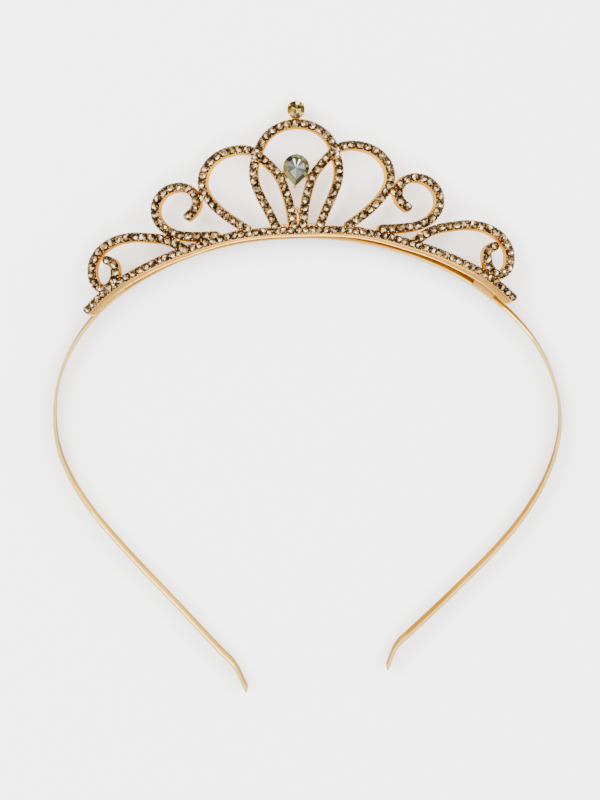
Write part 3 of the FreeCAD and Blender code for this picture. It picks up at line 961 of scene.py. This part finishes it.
# %% Pear stone
PEAR = {"x": 0.0, "y": 18.7, "radius": 3.5, "point": 5.2, "tilt": math.radians(-5.5)}
PEAR_STEPS = 9


def pear_places(radius, point):
    """The drop's outline, from its point round the head and back."""
    half = math.pi - math.acos(radius / point)
    places = [(0.0, -point)]
    for i in range(PEAR_STEPS * 2 + 1):
        angle = -half + 2 * half * i / (PEAR_STEPS * 2)
        places.append((radius * math.sin(angle), radius * math.cos(angle)))
    return places


pear_turn = Matrix.Translation((PEAR["x"], PEAR["y"], 0)) @ Matrix.Rotation(PEAR["tilt"], 4, "Z")


def pear_ring(bm, grow, height):
    """A ring of edges along the drop's outline, this much larger."""
    point = PEAR["point"] + grow * PEAR["point"] / PEAR["radius"]
    verts = [bm.verts.new((x, y, height)) for x, y in pear_places(PEAR["radius"] + grow, point)]
    edges = [bm.edges.new(pair) for pair in zip(verts, verts[1:] + verts[:1])]
    bmesh.ops.transform(bm, matrix=pear_turn, verts=verts)
    return edges


PEAR_RINGS = [
    # how much larger than the outline, height
    (-0.9, -0.45), (0.0, 0.0), (0.0, 0.22), (-0.95, 0.95), (-1.3, 1.15),
]
PEAR_LEVELS = {"under": 0.3, "border": 0.9, "facet_ring": 1.12}
BORDER_NUMBERS = (0.04, 0.14, 0.26, 0.26, 0.40, 0.40)
RING_NUMBERS = (0.14, 0.26, 0.66, 0.8)
DARK_HEAD = {"from": 55, "to": 140, "number": 0.04}
PEAR_WAYS = 24
PEAR_SECTORS = [
    # up to this angle, number
    (-120.0, 0.66), (-88.0, 0.86), (-60.0, 0.76), (-20.0, 0.64), (20.0, 0.86), (50.0, 0.70),
    (70.0, 0.96), (100.0, 0.54), (122.0, 0.96), (150.0, 0.62), (180.0, 0.78),
]

bm = bmesh.new()
rings = [pear_ring(bm, grow, height) for grow, height in PEAR_RINGS]
for lower, upper in zip(rings, rings[1:]):
    bmesh.ops.bridge_loops(bm, edges=lower + upper)
bmesh.ops.contextual_create(bm, geom=rings[0])
table = bmesh.ops.contextual_create(bm, geom=rings[-1])["faces"]
bmesh.ops.poke(bm, faces=table)
pear_glint = bm.faces.layers.float.new("glint")
# painted reflections: olive and bronze border, dark crescent at the head, bright V on the table
under, border, facet_ring = draws(3, PEAR_WAYS)
for face in bm.faces:
    middle = face.calc_center_median() - Vector((PEAR["x"], PEAR["y"], 0))
    angle = math.degrees(math.atan2(middle.y, middle.x))
    sector = int(bearing_of(middle) * PEAR_WAYS / 360.0)
    if middle.z < PEAR_LEVELS["under"]:
        face[pear_glint] = pick(BORDER_NUMBERS, under[sector])
    elif middle.z < PEAR_LEVELS["border"]:
        face[pear_glint] = pick(BORDER_NUMBERS, border[sector])
    elif middle.z < PEAR_LEVELS["facet_ring"] and DARK_HEAD["from"] < angle < DARK_HEAD["to"]:
        face[pear_glint] = DARK_HEAD["number"]
    elif middle.z < PEAR_LEVELS["facet_ring"]:
        face[pear_glint] = pick(RING_NUMBERS, facet_ring[sector])
    else:
        face[pear_glint] = next(number for up_to, number in PEAR_SECTORS if angle <= up_to)
stand_on_crown(bm)

# painted reflection tones of the pear's facets
PEARS = [
    # from, colour: border first, then table
    (0.00, (0.0030, 0.0025, 0.0012, 1)),
    (0.08, (0.0200, 0.0170, 0.0045, 1)),
    (0.20, (0.0600, 0.0520, 0.0140, 1)),
    (0.34, (0.1100, 0.0950, 0.0300, 1)),
    (0.50, (0.0220, 0.0230, 0.0190, 1)),
    (0.60, (0.0360, 0.0380, 0.0330, 1)),
    (0.74, (0.0720, 0.0760, 0.0660, 1)),
    (0.84, (0.1400, 0.1430, 0.1220, 1)),
    (0.93, (0.7500, 0.7000, 0.4600, 1)),
]
pear_finish = facet_finish("pear_facets", 0.1, 0.15, PEARS)
pear = finished(bm, "pear_gem", pear_finish, smooth_below=0)
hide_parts("pear_stone")

# %% Setting with claws
CLAWS = [
    # angle round the drop in degrees, distance from its middle
    (90.0, 3.55),
    (205.0, 3.65),
    (-25.0, 3.65),
    (-90.0, 5.2),
]
CLAW = {"up": -0.75, "long": 0.28, "wide": 0.36, "high": 1.25}
PLATE = {"grow": -0.6, "back": -2.0, "front": -0.55}
LUG = {"out": 3.1, "y": 16.6, "up": -1.6, "turn": -0.3, "wide": 2.6, "long": 1.6, "deep": 0.8,
       "edge": 0.2}
bm = bmesh.new()
plate_back = pear_ring(bm, PLATE["grow"], PLATE["back"])
plate_front = pear_ring(bm, PLATE["grow"], PLATE["front"])
bmesh.ops.bridge_loops(bm, edges=plate_back + plate_front)
bmesh.ops.contextual_create(bm, geom=plate_back)
bmesh.ops.contextual_create(bm, geom=plate_front)
for angle, reach in CLAWS:
    claw = (pear_turn @ Matrix.Rotation(math.radians(angle), 4, "Z")
            @ Matrix.Translation((reach, 0, CLAW["up"]))
            @ Matrix.Diagonal((CLAW["long"], CLAW["wide"], CLAW["high"], 1)))
    bmesh.ops.create_uvsphere(bm, u_segments=14, v_segments=10, radius=1.0, matrix=claw)
for side in (1, -1):
    lug_place = (Matrix.Translation((side * LUG["out"], LUG["y"], LUG["up"]))
                 @ Matrix.Rotation(side * LUG["turn"], 4, "Z")
                 @ Matrix.Diagonal((LUG["wide"], LUG["long"], LUG["deep"], 1)))
    rounded_block(bm, lug_place, LUG["edge"], segments=2)
stand_on_crown(bm)
setting = finished(bm, "pear_setting", crown_gold)
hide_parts("crown_frame")
